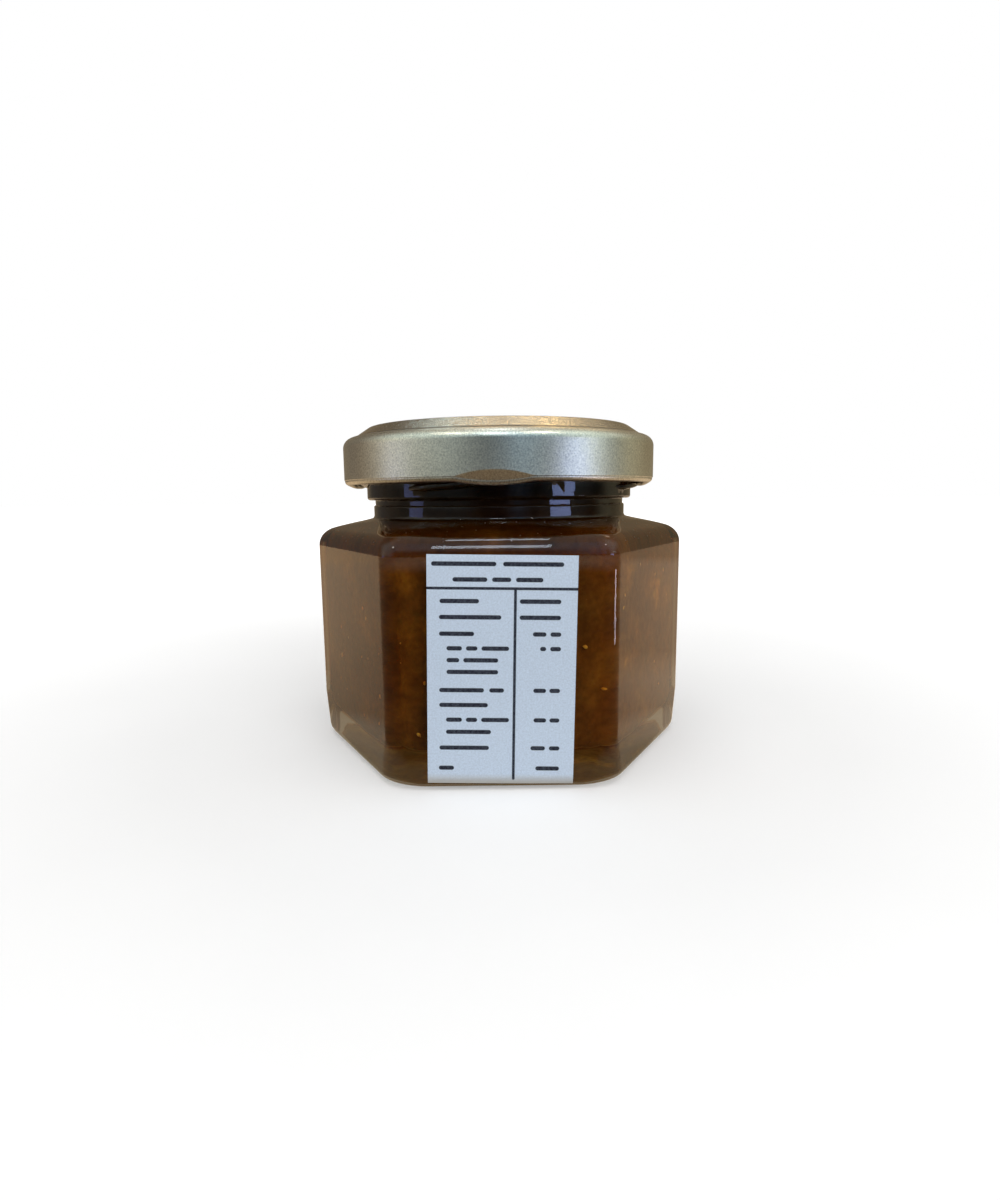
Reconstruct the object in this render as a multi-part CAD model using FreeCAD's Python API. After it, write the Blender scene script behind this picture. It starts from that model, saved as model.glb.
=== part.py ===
import FreeCAD, Part
import math
import os
from FreeCAD import Vector

# A small hexagonal preserving jar of fig jam: a pressed glass jar with a round
# twist-off finish, the jam that fills it, a lugged sheet metal cap screwed down
# tight, and one paper label on the front face.
# Millimetres. +Z is up, the jar stands on z = 0 with its axis on the Z axis,
# and the labelled face looks along -Y.

SIDES = 6
FACE_ANGLE = 360.0 / SIDES
HALF_FACE = math.radians(FACE_ANGLE / 2)
FRONT = -90.0                      # direction of the labelled face, degrees from +X
CHORD = 1.1                        # length of the chords that stand for a rounding
CURL_SIDES = 8                     # sides of the rolled edge's section
SHARP_JOIN = 2                     # offset lines meet in corners

# --- glass body -----------------------------------------------------------
across_flats = 59.2
shoulder_edge_height = 38.1        # where the wall and the shoulder planes meet
shoulder_rise = 3.1                # from that edge to the root of the neck
corner_radius = 3.0                # of the upright edges
corner_spread = 0.5                # its growth on the shoulder, for each mm drawn in
foot_corner_radius = 8.0           # of the upright edges where they meet the base
foot_height = 8.0                  # of the stretch in which they change
shoulder_radius = 3.4
heel_radius = 2.0
wall = 2.3
base_thickness = 5.0
inner_corner_radius = 4.6
inner_foot_corner_radius = 10.0
inner_heel_radius = 4.2
inner_shoulder_radius = 4.0
push_up_depth = 0.9                # hollow under the base
push_up_slope = 2.5                # width of its sloping edge
bearing_width = 4.0                # flat ring that the jar stands on, at mid-face

# --- neck and twist-off finish ---------------------------------------------
neck_root_radius = 22.3
neck_wall = 1.7                    # at the root of the neck
root_height = 0.15                 # plain neck below the support ring
support_ring_depth = 0.6           # this and the next two stand out from the root
support_ring_height = 1.7
groove_depth = 0.3
groove_height = 0.95
finish_depth = 1.7
finish_height = 11.3               # from the underside of the finish to the rim
rim_radius = 1.0                   # rounding of the rim's outer edge
mouth_bevel = 0.5                  # inside the rim
neck_edge_radius = 0.5             # rounding of the rings on the neck

# --- glass threads, one for each lug of the cap ------------------------------
lug_count = 4
thread_depth = 1.25
thread_height = 1.5
thread_tip_height = 0.8
thread_tilt = 5.4                  # degrees
thread_low_end = 36.0              # degrees past the lug, on the falling side
thread_high_end = 32.0             # degrees past the lug, on the rising side

# --- jam -------------------------------------------------------------------
headspace = 5.4                    # from the jam up to the rim

# --- cap -------------------------------------------------------------------
sheet = 0.25
liner_thickness = 0.35             # sealing compound between rim and panel
liner_overlap = 0.2                # compound beyond each side of the rim
skirt_gap = 2.4                    # from the crest of a thread to the skirt
cap_corner_radius = 1.8
crease_inset = 1.9                 # crease in from the skirt
crease_drop = 1.75                 # crease below the ridge
ridge_inset = 2.6                  # outer edge of the panel's ridge in from the crease
ridge_width = 1.3
ridge_height = 0.6                 # ridge above the panel
ridge_rounding = 0.6
button_radius = 9.0
button_dip = 0.3
button_slope = 1.6
curl_height = 9.85                 # bottom of the curl below the ridge
curl_wire = 0.62                   # radius of the rolled edge
curl_inset = 0.03
lug_angle = 24.4                   # degrees
lug_offset = -1.4                  # the front lug's turn from the front, degrees
lug_reach = 0.4                    # gap from the lug's tip to the finish wall
lug_tip_height = 0.6
lug_dip = 0.55                     # lowest point of a lug below the curl
lug_thread_gap = 0.06
dent_height = 1.55                 # top of the dent above the bottom of the curl
dent_slope = 0.79                  # how fast the dent goes inwards, per mm down

# --- label -----------------------------------------------------------------
label_width = 22.2
label_bottom = 1.0
label_top_margin = 2.0             # below the edge of the shoulder
label_shift = 0.1
label_turn = 1.14                  # degrees, clockwise as seen from the front
paper = 0.1

# --- derived places ----------------------------------------------------------
apothem = across_flats / 2
neck_base = shoulder_edge_height + shoulder_rise
ring_bottom = neck_base + root_height
ring_top = ring_bottom + support_ring_height
finish_bottom = ring_top + groove_height
rim_height = finish_bottom + finish_height
bore_radius = neck_root_radius - neck_wall
finish_radius = neck_root_radius + finish_depth
thread_crest_radius = finish_radius + thread_depth
jam_level = rim_height - headspace
shoulder_slope = shoulder_rise / (apothem - neck_root_radius)
shoulder_tilt = math.atan(shoulder_slope)
cap_radius = thread_crest_radius + skirt_gap + sheet
crease_radius = cap_radius - crease_inset
ridge_radius = crease_radius - ridge_inset
panel_top = rim_height + liner_thickness + sheet
ridge_top = panel_top + ridge_height
curl_bottom = ridge_top - curl_height
curl_centre_radius = cap_radius - curl_wire - curl_inset
curl_centre_height = curl_bottom + curl_wire
lug_tip_radius = finish_radius + lug_reach
lug_bottom = curl_bottom - lug_dip
dent_top = curl_bottom + dent_height
label_height = shoulder_edge_height - label_top_margin - label_bottom


def polar(radius, degrees, height):
    """Point at a radius and direction around the jar's axis."""
    turn = math.radians(degrees)
    return Vector(radius * math.cos(turn), radius * math.sin(turn), height)


def outline(corners):
    """Points in the XZ plane along (radius, height, rounding) corners.

    A rounding becomes chords of its arc: one bevel if it is small, more if it is large.
    """
    count = len(corners)
    sharp = [Vector(radius, 0, height) for radius, height, rounding in corners]
    points = []
    for index, (radius, height, rounding) in enumerate(corners):
        here = sharp[index]
        if rounding == 0:
            points.append(here)
            continue
        back = (sharp[index - 1] - here).normalize()
        ahead = (sharp[(index + 1) % count] - here).normalize()
        half = back.getAngle(ahead) / 2
        turn = math.pi - 2 * half
        centre = here + (back + ahead).normalize() * (rounding / math.sin(half))
        first = here + back * (rounding / math.tan(half)) - centre
        last = here + ahead * (rounding / math.tan(half)) - centre
        chords = max(1, round(rounding * turn / CHORD))
        for step in range(chords + 1):
            share = turn * step / chords
            spoke = first * math.sin(turn - share) + last * math.sin(share)
            points.append(centre + spoke * (1 / math.sin(turn)))
    return points


def closed_face(points):
    """Flat face inside a closed run of points."""
    return Part.Face(Part.makePolygon(points + points[:1]))


def turned(face, degrees=360.0):
    """Solid turned round the jar's axis, starting at +X."""
    return face.revolve(Vector(0, 0, 0), Vector(0, 0, 1), degrees)


def around(shape, degrees):
    """Copy of a shape, turned about the jar's axis."""
    return shape.rotated(Vector(0, 0, 0), Vector(0, 0, 1), degrees)


def joined(shapes):
    """One solid from shapes that meet or overlap."""
    return shapes[0].fuse(shapes[1:]).removeSplitter()


def rounded_hexagon(flat_distance, radius, height):
    """Six sides with rounded corners, a corner on +X."""
    corner = flat_distance / math.cos(HALF_FACE)
    setback = radius * math.tan(HALF_FACE)
    nose = corner - radius * (1 / math.cos(HALF_FACE) - 1)
    edges = []
    for side in range(SIDES):
        here = polar(corner, FACE_ANGLE * side, height)
        before = polar(corner, FACE_ANGLE * (side - 1), height)
        after = polar(corner, FACE_ANGLE * (side + 1), height)
        back = (before - here).normalize()
        ahead = (after - here).normalize()
        arc_start = here + back * setback
        arc_end = here + ahead * setback
        arc_middle = polar(nose, FACE_ANGLE * side, height)
        edges.append(Part.Arc(arc_start, arc_middle, arc_end).toShape())
        edges.append(Part.LineSegment(arc_end, after - ahead * setback).toShape())
    return Part.Wire(edges)


def split_circle(radius, flat_distance, rounding, height):
    """Circle in twelve arcs that answer the sides and corners of a hexagon."""
    corner = flat_distance / math.cos(HALF_FACE)
    half_side = corner / 2 - rounding * math.tan(HALF_FACE)
    flat_half = math.degrees(math.atan2(half_side, flat_distance))
    corner_half = FACE_ANGLE / 2 - flat_half
    edges = []
    for side in range(SIDES):
        middle = FACE_ANGLE * side
        start = polar(radius, middle - corner_half, height)
        end = polar(radius, middle + corner_half, height)
        edges.append(Part.Arc(start, polar(radius, middle, height), end).toShape())
        far = polar(radius, middle + FACE_ANGLE - corner_half, height)
        halfway = polar(radius, middle + FACE_ANGLE / 2, height)
        edges.append(Part.Arc(end, halfway, far).toShape())
    return Part.Wire(edges)


def hexagonal_form(flat_distance, rounding, foot_rounding, floor, edge_height, neck_radius,
                   neck_height, heel, shoulder):
    """Hexagonal body whose shoulder closes to a round neck opening.

    Its rounded hexagons follow one profile, taken at the middle of a face. Their
    corners are rounder at the foot and towards the neck.
    """
    foot_top = floor + foot_height
    profile = outline([
        (0, floor, 0),
        (flat_distance, floor, heel),
        (flat_distance, foot_top, 0),
        (flat_distance, edge_height, shoulder),
        (neck_radius, neck_height, 0)])
    rings = []
    for point in profile[1:-1]:
        foot_share = max(0, foot_top - point.z) / foot_height
        ring_rounding = rounding + foot_share * (foot_rounding - rounding)
        if point.z > foot_top:
            ring_rounding += corner_spread * (flat_distance - point.x)
        rings.append(rounded_hexagon(point.x, ring_rounding, point.z))
    rings.append(split_circle(neck_radius, profile[-2].x, ring_rounding, neck_height))
    return Part.makeLoft(rings, True, True)


def outer_form(grow=0.0):
    """Outside of the glass body, or the same form grown by the thickness of a skin."""
    edge_lift = grow * math.tan((math.pi / 2 - shoulder_tilt) / 2)
    neck_lift = grow / math.cos(shoulder_tilt)
    return hexagonal_form(apothem + grow, corner_radius + grow, foot_corner_radius + grow,
                          -grow, shoulder_edge_height + edge_lift, neck_root_radius,
                          neck_base + neck_lift, heel_radius + grow, shoulder_radius + grow)


def cavity(top):
    """Inside of the jar, from the floor of the glass up to a height."""
    drop = wall / math.cos(shoulder_tilt)
    inner_edge = shoulder_edge_height + shoulder_slope * wall - drop
    inner_neck = shoulder_edge_height + shoulder_slope * (apothem - bore_radius) - drop
    body = hexagonal_form(apothem - wall, inner_corner_radius, inner_foot_corner_radius,
                          base_thickness, inner_edge, bore_radius, inner_neck,
                          inner_heel_radius, inner_shoulder_radius)
    bore = Part.makeCylinder(bore_radius, top - inner_neck, Vector(0, 0, inner_neck))
    return joined([body, bore])


def neck_finish():
    """Support ring, groove and finish wall, as one turned solid."""
    sunk = neck_base - shoulder_rise / 2
    support_ring_radius = neck_root_radius + support_ring_depth
    groove_radius = neck_root_radius + groove_depth
    profile = outline([
        (0, sunk, 0),
        (neck_root_radius, sunk, 0),
        (neck_root_radius, ring_bottom, 0),
        (support_ring_radius, ring_bottom, neck_edge_radius),
        (support_ring_radius, ring_top, neck_edge_radius),
        (groove_radius, ring_top, 0),
        (groove_radius, finish_bottom, 0),
        (finish_radius, finish_bottom, neck_edge_radius),
        (finish_radius, rim_height, rim_radius),
        (0, rim_height, 0)])
    return turned(closed_face(profile))


def thread():
    """One slanting ridge of the finish, over the front lug of the cap."""
    inside = finish_radius - thread_depth / 2
    crest = thread_crest_radius
    flank = (thread_height - thread_tip_height) / 2
    profile = outline([
        (inside, 0, 0),
        (finish_radius, 0, 0),
        (crest, flank, 0),
        (crest, flank + thread_tip_height, 0),
        (finish_radius, thread_height, 0),
        (inside, thread_height, 0)])
    ridge = turned(closed_face(profile), thread_low_end + thread_high_end)
    ridge = around(ridge, -thread_low_end)
    ridge.rotate(Vector(0, 0, 0), Vector(1, 0, 0), thread_tilt)
    lug_half_width = crest * math.sin(math.radians(lug_angle / 2))
    fall = lug_half_width * math.tan(math.radians(thread_tilt))
    seat = lug_bottom + lug_tip_height + lug_thread_gap + fall
    ridge.translate(Vector(0, 0, seat))
    return around(ridge, FRONT + lug_offset)


def glass_jar():
    """Body, neck and threads, hollowed out and pushed up under the base."""
    parts = [outer_form(), neck_finish()]
    for index in range(lug_count):
        parts.append(around(thread(), index * 360.0 / lug_count))
    mouth = Part.makeCone(bore_radius, bore_radius + mouth_bevel, mouth_bevel,
                          Vector(0, 0, rim_height - mouth_bevel))
    hollow_radius = apothem - heel_radius - bearing_width
    hollow = Part.makeCone(hollow_radius, hollow_radius - push_up_slope, push_up_depth)
    return joined(parts).cut([cavity(rim_height), mouth, hollow])


def jam():
    """The filling, up to its level in the neck."""
    return cavity(jam_level)


def sheet_shell():
    """Panel, ridge, rounded corner and skirt, one sheet thick."""
    button_edge = button_radius + button_slope
    outside = outline([
        (0, panel_top - button_dip, 0),
        (button_radius, panel_top - button_dip, 0),
        (button_edge, panel_top, 0),
        (ridge_radius - ridge_width - ridge_height, panel_top, 0),
        (ridge_radius - ridge_width, ridge_top, 0),
        (ridge_radius, ridge_top, ridge_rounding),
        (crease_radius, ridge_top - crease_drop, 0),
        (cap_radius, ridge_top - crease_drop, cap_corner_radius),
        (cap_radius, curl_centre_height, 0)])
    path = Part.makePolygon(outside)
    return turned(path.makeOffset2D(-sheet, SHARP_JOIN, True, True))


def rolled_edge():
    """The curl at the foot of the skirt."""
    rim = []
    for step in range(CURL_SIDES):
        turn = 2 * math.pi * (step + 0.5) / CURL_SIDES
        out = curl_wire / math.cos(math.pi / CURL_SIDES)
        radius = curl_centre_radius + out * math.cos(turn)
        rim.append(Vector(radius, 0, curl_centre_height + out * math.sin(turn)))
    return turned(closed_face(rim))


def lug():
    """The curl pressed in to a lug, with its ramp, at +X."""
    skin = cap_radius - sheet / 2
    ramp_top = dent_top + sheet
    profile = outline([
        (lug_tip_radius, lug_bottom, 0),
        (skin, lug_bottom, 0),
        (skin, ramp_top, 0),
        (skin - sheet, ramp_top, 0),
        (lug_tip_radius + lug_tip_height, lug_bottom + lug_tip_height, 0),
        (lug_tip_radius, lug_bottom + lug_tip_height, 0)])
    block = around(turned(closed_face(profile), lug_angle), -lug_angle / 2)
    half_width = cap_radius * math.sin(math.radians(lug_angle / 2))
    sag_radius = (half_width ** 2 + lug_dip ** 2) / (2 * lug_dip)
    belly = Part.makeCylinder(sag_radius, cap_radius * 2,
                              Vector(0, 0, lug_bottom + sag_radius), Vector(1, 0, 0))
    return block.common(belly)


def dent():
    """What the press takes off the outside over a lug, at +X."""
    depth = dent_slope * (dent_top - lug_bottom + 1)
    low = lug_bottom - 1
    corners = [
        Vector(cap_radius, -cap_radius, dent_top),
        Vector(cap_radius + depth, -cap_radius, dent_top),
        Vector(cap_radius + depth, -cap_radius, low),
        Vector(cap_radius - depth, -cap_radius, low)]
    wedge = closed_face(corners)
    return wedge.extrude(Vector(0, 2 * cap_radius, 0))


def cap():
    """Twist-off cap: sheet, sealing liner, rolled edge and lugs."""
    liner = turned(closed_face(outline([
        (bore_radius - liner_overlap, rim_height, 0),
        (finish_radius + liner_overlap, rim_height, 0),
        (finish_radius + liner_overlap, rim_height + liner_thickness + sheet / 2, 0),
        (bore_radius - liner_overlap, rim_height + liner_thickness + sheet / 2, 0)])))
    parts = [sheet_shell(), liner, rolled_edge()]
    dents = []
    for index in range(lug_count):
        turn = FRONT + lug_offset + index * 360.0 / lug_count
        parts.append(around(lug(), turn))
        dents.append(around(dent(), turn))
    return joined(parts).cut(dents)


def label():
    """Paper on the front face, from the heel up on to the shoulder."""
    skin = outer_form(paper).cut(outer_form())
    front_half = Part.makeBox(label_width, across_flats, label_height,
                              Vector(-label_width / 2, -across_flats, -label_height / 2))
    front_half.rotate(Vector(0, 0, 0), Vector(0, 1, 0), label_turn)
    front_half.translate(Vector(label_shift, 0, label_bottom + label_height / 2))
    return skin.common(front_half)


NODES = {
    "glass_jar": glass_jar,
    "jam": jam,
    "lid": cap,
    "label": label,
}

os.makedirs("parts", exist_ok=True)
for name, make in NODES.items():
    shape = make()
    print(name, "valid" if shape.isValid() else "NOT VALID", round(shape.Volume, 1), "mm3")
    shape.exportStep("parts/" + name + ".step")
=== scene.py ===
import math
import random

import bmesh
import bpy
from mathutils import Matrix, Vector


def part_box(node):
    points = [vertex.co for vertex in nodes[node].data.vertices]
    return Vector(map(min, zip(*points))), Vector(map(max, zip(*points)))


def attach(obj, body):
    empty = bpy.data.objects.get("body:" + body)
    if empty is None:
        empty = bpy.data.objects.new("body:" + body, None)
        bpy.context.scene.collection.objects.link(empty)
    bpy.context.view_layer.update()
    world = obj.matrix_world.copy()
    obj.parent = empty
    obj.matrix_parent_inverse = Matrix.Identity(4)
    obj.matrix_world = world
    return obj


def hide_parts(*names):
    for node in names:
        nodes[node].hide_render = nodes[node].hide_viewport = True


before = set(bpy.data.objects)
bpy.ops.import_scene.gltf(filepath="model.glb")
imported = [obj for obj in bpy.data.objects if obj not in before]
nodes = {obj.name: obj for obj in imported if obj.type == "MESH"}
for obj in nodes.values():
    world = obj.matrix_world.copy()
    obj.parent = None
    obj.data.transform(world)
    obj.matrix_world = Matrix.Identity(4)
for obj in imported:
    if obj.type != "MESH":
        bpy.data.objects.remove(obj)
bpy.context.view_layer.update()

# Looks of a small hexagonal glass jar of fig jam with a twist-off lid and a paper label.
# Blender's units are metres, +Z up, the labelled face looks along -Y. The sizes written
# here are in millimetres.

MM = 0.001
SIDES = 6
CORNER_SEGMENTS = 8
FACE_CUTS = 5                      # extra points on each side of a hexagon ring
ROUND_SHARE = 0.6                  # rounding of a ring that becomes a circle
SLOPE_RINGS = 5
SKIRT_ROWS = 6
LID_STEPS = 240
SEAL_STEPS = 96
THREAD_STEPS = 48
WELD = 1e-6                        # metres
SAME_LEVEL = 1e-7                  # metres
HALF_FACE = math.pi / SIDES
FULL_TURN = 2 * math.pi
AXIS = (0, 0, 1)
ORIGIN = (0, 0, 0)

scene = bpy.context.scene
jar_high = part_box("glass_jar")[1]
jam_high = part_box("jam")[1]
lid_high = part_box("lid")[1]
label_low, label_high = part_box("label")

# --- glass ---
apothem = jar_high.y / MM
rim_height = jar_high.z / MM
shoulder_edge_height = 38.1
shoulder_rise = 3.1
corner_radius = 3.0
corner_spread = 0.5
foot_corner_radius = 8.0
foot_height = 8.0
shoulder_radius = 3.4
heel_radius = 2.0
wall = 2.3
base_thickness = 5.0
inner_corner_radius = 4.6
inner_foot_corner_radius = 9.0
inner_heel_radius = 2.6
inner_shoulder_radius = 4.0
push_up_depth = 0.9
bearing_dish = 0.05                # the ring it stands on rises this much towards the hollow
push_up_slope = 2.5
bearing_width = 4.0
neck_root_radius = 23.3
bore_radius = 20.6
bore_margin = 0.2
support_ring_radius = 22.9
neck_fillet = 0.6
neck_fillet_rise = 0.17
groove_radius = 22.6
finish_radius = 24.0
shoulder_slope = shoulder_rise / (apothem - 22.3)
neck_base = shoulder_edge_height + shoulder_slope * (apothem - neck_root_radius)
ring_top = 43.05
finish_bottom = ring_top + 0.95
neck_edge_radius = 0.5
rim_radius = 1.0
mouth_bevel = 0.5
inner_drop = wall * math.hypot(1, shoulder_slope)

# --- threads ---
lug_count = 4
lug_step = 360 / lug_count         # degrees
lug_angle = 24.4
lug_offset = -1.4
thread_depth = 1.25
thread_height = 1.5
thread_tip_height = 0.8
thread_tilt = 4.3
thread_drop = 0.95                 # how far a thread lies under the lid's edge at its middle
thread_low_end = 36.0
thread_high_end = 32.0
thread_root = 0.3                  # how deep a thread is rooted in the glass
thread_fade = 13.0                 # degrees over which a thread runs out at each end
thread_stub = 0.5                  # degrees
thread_least = 0.02                # what is left of it at the very end
thread_end_height = 0.35           # share of its height there

# --- lid ---
cap_radius = lid_high.x / MM
ridge_top = lid_high.z / MM
sheet = 0.25
cap_corner_radius = 1.8
crease_radius = cap_radius - 1.9
crease_drop = 1.75
ridge_radius = crease_radius - 2.6
ridge_width = 1.3
ridge_height = 0.6
button_radius = 9.0
button_dip = 0.3
button_slope = 1.6
curl_height = 9.85
curl_bottom = ridge_top - curl_height
bead_top = curl_bottom + 0.85      # where the skirt ends and the rolled edge begins
bead_step = 0.1
bead_inset = 0.1
bead_width = 1.7
bead_rounding = 0.65
bead_lip = 1.6                     # height of the rolled edge's inner lip
bead_return = 0.5
button_rounding = 1.5
facet_rise = 0.95
facet_blend = 2.4
lug_dip = 0.55
lug_press = 0.95
lug_gap = 0.1
thread_crest = finish_radius + thread_depth
seal_gap = 0.01                    # between the sheet metal and the compound
seal_margin = 0.2

# --- jam ---
jam_level = jam_high.z / MM
pulp_depth = 1.1                   # clear jelly between the glass and the flesh
into_wall = 0.06                   # how far the jam reaches into the glass, so no air shows
floor_gap = 0.12                   # the flesh lies almost on the floor of the glass
pulp_foot = 0.8                    # what lies this low above its floor sinks to the glass
pulp_sink = 0.9
pulp_top_gap = 1.6
pulp_voxel = 0.75
pulp_swell = 0.55                  # how much of each lump sinks in
PULP_LUMPS = ((9.0, 1.3), (3.0, 0.6), (1.2, 0.25))      # size and depth of its lumps
SEED_COUNT = 110
SEED_SIZE = 0.42
SEED_SCALES = (0.7, 1.2)
SEED_FORM = (1.0, 0.8, 0.62)
SEED_TIP_START = 0.35
SEED_TIP = (1.25, 0.6, 0.7)
SEED_DEPTHS = (0.35, 2.2)
SEED_SPAN = (-0.52, 0.52)          # shares of the inside's half width
SEED_LEVELS = (base_thickness + 1.5, shoulder_edge_height - 2.5)
SEED_DRAW = 7

# --- print on the label: levels and spans from its middle ---
label_turn = 1.14                  # degrees
LABEL_HALF = 11.1
LABEL_FOOT = -17.6
RULE_THICKNESS = 0.42
DASH_THICKNESS = 0.66
INK_EDGE = 0.06
HEAD_RULE = 12.6
COLUMN_RULE = 1.95
COLUMN_RULE_FOOT = -16.9
PRINT_ROWS = (
    (16.2, ((-10.4, -0.9), (0.1, 9.0))),
    (13.9, ((-7.3, -2.2), (-1.5, 1.3), (2.0, 6.0))),
    (10.7, ((-9.2, -3.4), (2.6, 8.7))),
    (8.3, ((-9.3, -0.1), (2.6, 8.7))),
    (5.8, ((-9.3, -4.1), (4.6, 6.6), (7.2, 8.8))),
    (3.6, ((-8.2, -5.9), (-5.3, -3.6), (-3.0, 1.1), (5.7, 6.6), (7.2, 8.8))),
    (1.8, ((-8.2, -6.3), (-5.7, -0.5))),
    (0.0, ((-8.2, -0.5),)),
    (-2.8, ((-9.3, -2.6), (-1.8, 0.4), (4.8, 6.7), (7.2, 8.8))),
    (-5.1, ((-9.3, -2.0),)),
    (-7.4, ((-8.3, -5.9), (-5.3, -3.6), (-3.0, 1.2), (4.9, 6.8), (7.3, 8.8))),
    (-9.3, ((-8.3, -1.5),)),
    (-11.8, ((-9.3, -1.8), (4.5, 6.7), (7.3, 8.9))),
    (-15.0, ((-9.4, -7.1), (5.3, 8.9))),
)

# --- studio, in metres ---
FILL = 0.45                        # brightness of the even light from all round
FLOOR_SIZE = 8.0
FLOOR_FADE = (0.06, 0.45)          # where the floor fades to white
FLOOR_LIFT = (0.2, 1.0)
TENT_RADIUS = 0.62
TENT_SIDES = 96
MAT_LEVEL = -0.0002
# tones round the jar: degrees right of the front, colour
SIDE_TONES = [
    (-180, (0.27, 0.19, 0.11)), (-145, (0.2, 0.16, 0.11)), (-128, (0.15, 0.13, 0.11)),
    (-110, (0.2, 0.16, 0.12)), (-96, (0.36, 0.31, 0.24)), (-78, (0.95, 0.96, 0.84)),
    (-60, (0.56, 0.6, 0.57)),
    (-45, (0.49, 0.56, 0.55)), (-30, (0.4, 0.48, 0.5)), (-14, (0.05, 0.065, 0.08)),
    (4, (0.06, 0.08, 0.11)), (16, (0.4, 0.64, 0.92)), (29, (0.12, 0.16, 0.17)),
    (46, (0.42, 0.52, 0.6)), (58, (0.75, 0.88, 0.93)), (71, (0.6, 0.7, 0.7)),
    (86, (0.16, 0.2, 0.18)), (102, (0.5, 0.47, 0.32)), (120, (0.24, 0.2, 0.12)),
    (150, (0.22, 0.17, 0.1))]
UPPER_TONES = [
    (-180, (0.06, 0.042, 0.026)), (-120, (0.2, 0.16, 0.12)), (-80, (0.75, 0.86, 0.84)),
    (-40, (0.5, 0.66, 0.68)), (0, (0.4, 0.56, 0.66)), (30, (0.5, 0.76, 0.9)),
    (80, (1.0, 1.15, 1.1)), (120, (0.38, 0.32, 0.22))]
TOP_TONE = (0.6, 0.57, 0.5)
FOOT_TONES = [
    (-180, (0.4, 0.3, 0.2)), (-132, (0.6, 0.46, 0.31)), (-60, (0.5, 0.42, 0.3)),
    (0, (0.5, 0.43, 0.31)), (60, (0.55, 0.45, 0.32)), (132, (1.1, 0.85, 0.58))]
# near the jar; in front these tones paint the jar's brownish shadow on the mat
NEAR_TONES = [
    (-180, (0.3, 0.23, 0.15)), (-132, (0.62, 0.47, 0.31)), (-60, (0.24, 0.17, 0.1)),
    (0, (0.12, 0.07, 0.035)), (60, (0.22, 0.15, 0.09)), (132, (1.1, 0.85, 0.58))]
MAT_TONES = [
    (-180, (0.35, 0.27, 0.17)), (-132, (0.76, 0.56, 0.36)), (-100, (0.4, 0.3, 0.19)),
    (-60, (0.16, 0.13, 0.08)), (0, (0.03, 0.023, 0.015)), (60, (0.17, 0.14, 0.085)),
    (100, (0.45, 0.35, 0.22)), (132, (0.8, 0.6, 0.4))]
FAR_TONES = [
    (-180, (0.35, 0.27, 0.17)), (-132, (0.8, 0.56, 0.33)), (-90, (0.5, 0.4, 0.28)),
    (-40, (0.5, 0.42, 0.34)), (40, (0.8, 0.68, 0.55)), (90, (0.5, 0.4, 0.28)),
    (132, (0.6, 0.42, 0.25))]
SEEN_THROUGH = (0.14, 0.1, 0.06)   # what shows behind clear glass
# painted shadow: the dark mat right under the jar
PAINTED_UNDER_SHADOW = (0.2, 0.18, 0.11)
HORIZON_TONES = [                  # a dark line where the mat meets the tent in front
    (-180, (1, 1, 1)), (-115, (1, 1, 1)), (-90, (0.22, 0.22, 0.22)), (90, (0.22, 0.22, 0.22)),
    (115, (1, 1, 1))]
MAT_ZONES = (((0.026, 0.034), FOOT_TONES), ((0.04, 0.046), NEAR_TONES),
             ((0.065, 0.095), MAT_TONES), ((0.35, 0.41), FAR_TONES))
EDGE_ZONE = (0.57, 0.615)
HORIZON_ZONE = (0.078, 0.115)      # shares of the tent's radius
UPPER_ZONE = (0.35, 0.6)
TOP_ZONE = (0.84, 0.93)
CARD_LEVEL = 0.04
CAMERA_PLACE = (0, -0.13054, 0.04475)
CAMERA_TIP = 8.62                  # degrees
CAMERA_ROLL = -0.635               # degrees
LENS = 20.84                       # millimetres
# name, place, target, width, height, colour, brightness
LAMPS = (
    ("top softbox", (0.0, -0.12, 0.6), (0, 0, 0.02), 0.5, 0.4, (1.0, 0.99, 0.97), 2.2),
    ("front softbox", (0.24, -0.58, 0.3), (0, 0, 0.03), 0.5, 0.3, (0.98, 0.99, 1.0), 3.8),
    ("table glow", (0.0, 0.0, -0.25), (0, 0, 0.02), 0.4, 0.4, (0.85, 1.0, 0.95), 1.35),
)
# name, degrees right of the front, rise, distance, width, height, colour
CARDS = (
    ("right window", 54, -1, 0.5, 0.17, 0.05, (2.3, 2.9, 5.4)),
    ("upper window", 68, 10, 0.5, 0.11, 0.06, (1.9, 2.2, 2.0)),
    ("left window", -76, -1, 0.5, 0.13, 0.05, (0.7, 0.8, 1.5)),
    ("middle lamp", -1, 42, 0.5, 0.1, 0.12, (5.6, 6.4, 7.2)),
    ("upper lamp", -1, 82, 0.5, 0.09, 0.08, (5.2, 5.9, 6.6)),
    ("right lamp", 38, 48, 0.5, 0.08, 0.04, (18.0, 16.0, 13.0)),
    ("left lamp", -38, 48, 0.5, 0.08, 0.04, (16.0, 15.0, 13.0)),
    ("low lamp", 65.5, -12.8, 0.115, 0.013, 0.021, (6.5, 5.6, 6.2)),
    ("ceiling", 180, 69, 0.56, 0.5, 0.17, (0.65, 0.61, 0.52)),
    ("cool ceiling lamp", -156, 55, 0.5, 0.07, 0.06, (2.6, 3.2, 3.4)),
    ("rear ceiling lamp", -172, 63, 0.5, 0.06, 0.06, (4.0, 2.7, 1.5)),
    ("middle ceiling lamp", 172, 63, 0.5, 0.04, 0.07, (2.0, 2.0, 2.0)),
    ("warm ceiling lamp", 157, 56, 0.5, 0.035, 0.05, (15.0, 10.5, 5.7)),
    ("right ceiling lamp", 138, 50, 0.5, 0.09, 0.05, (2.8, 2.2, 1.6)),
)


# --- modelling helpers ---

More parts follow.
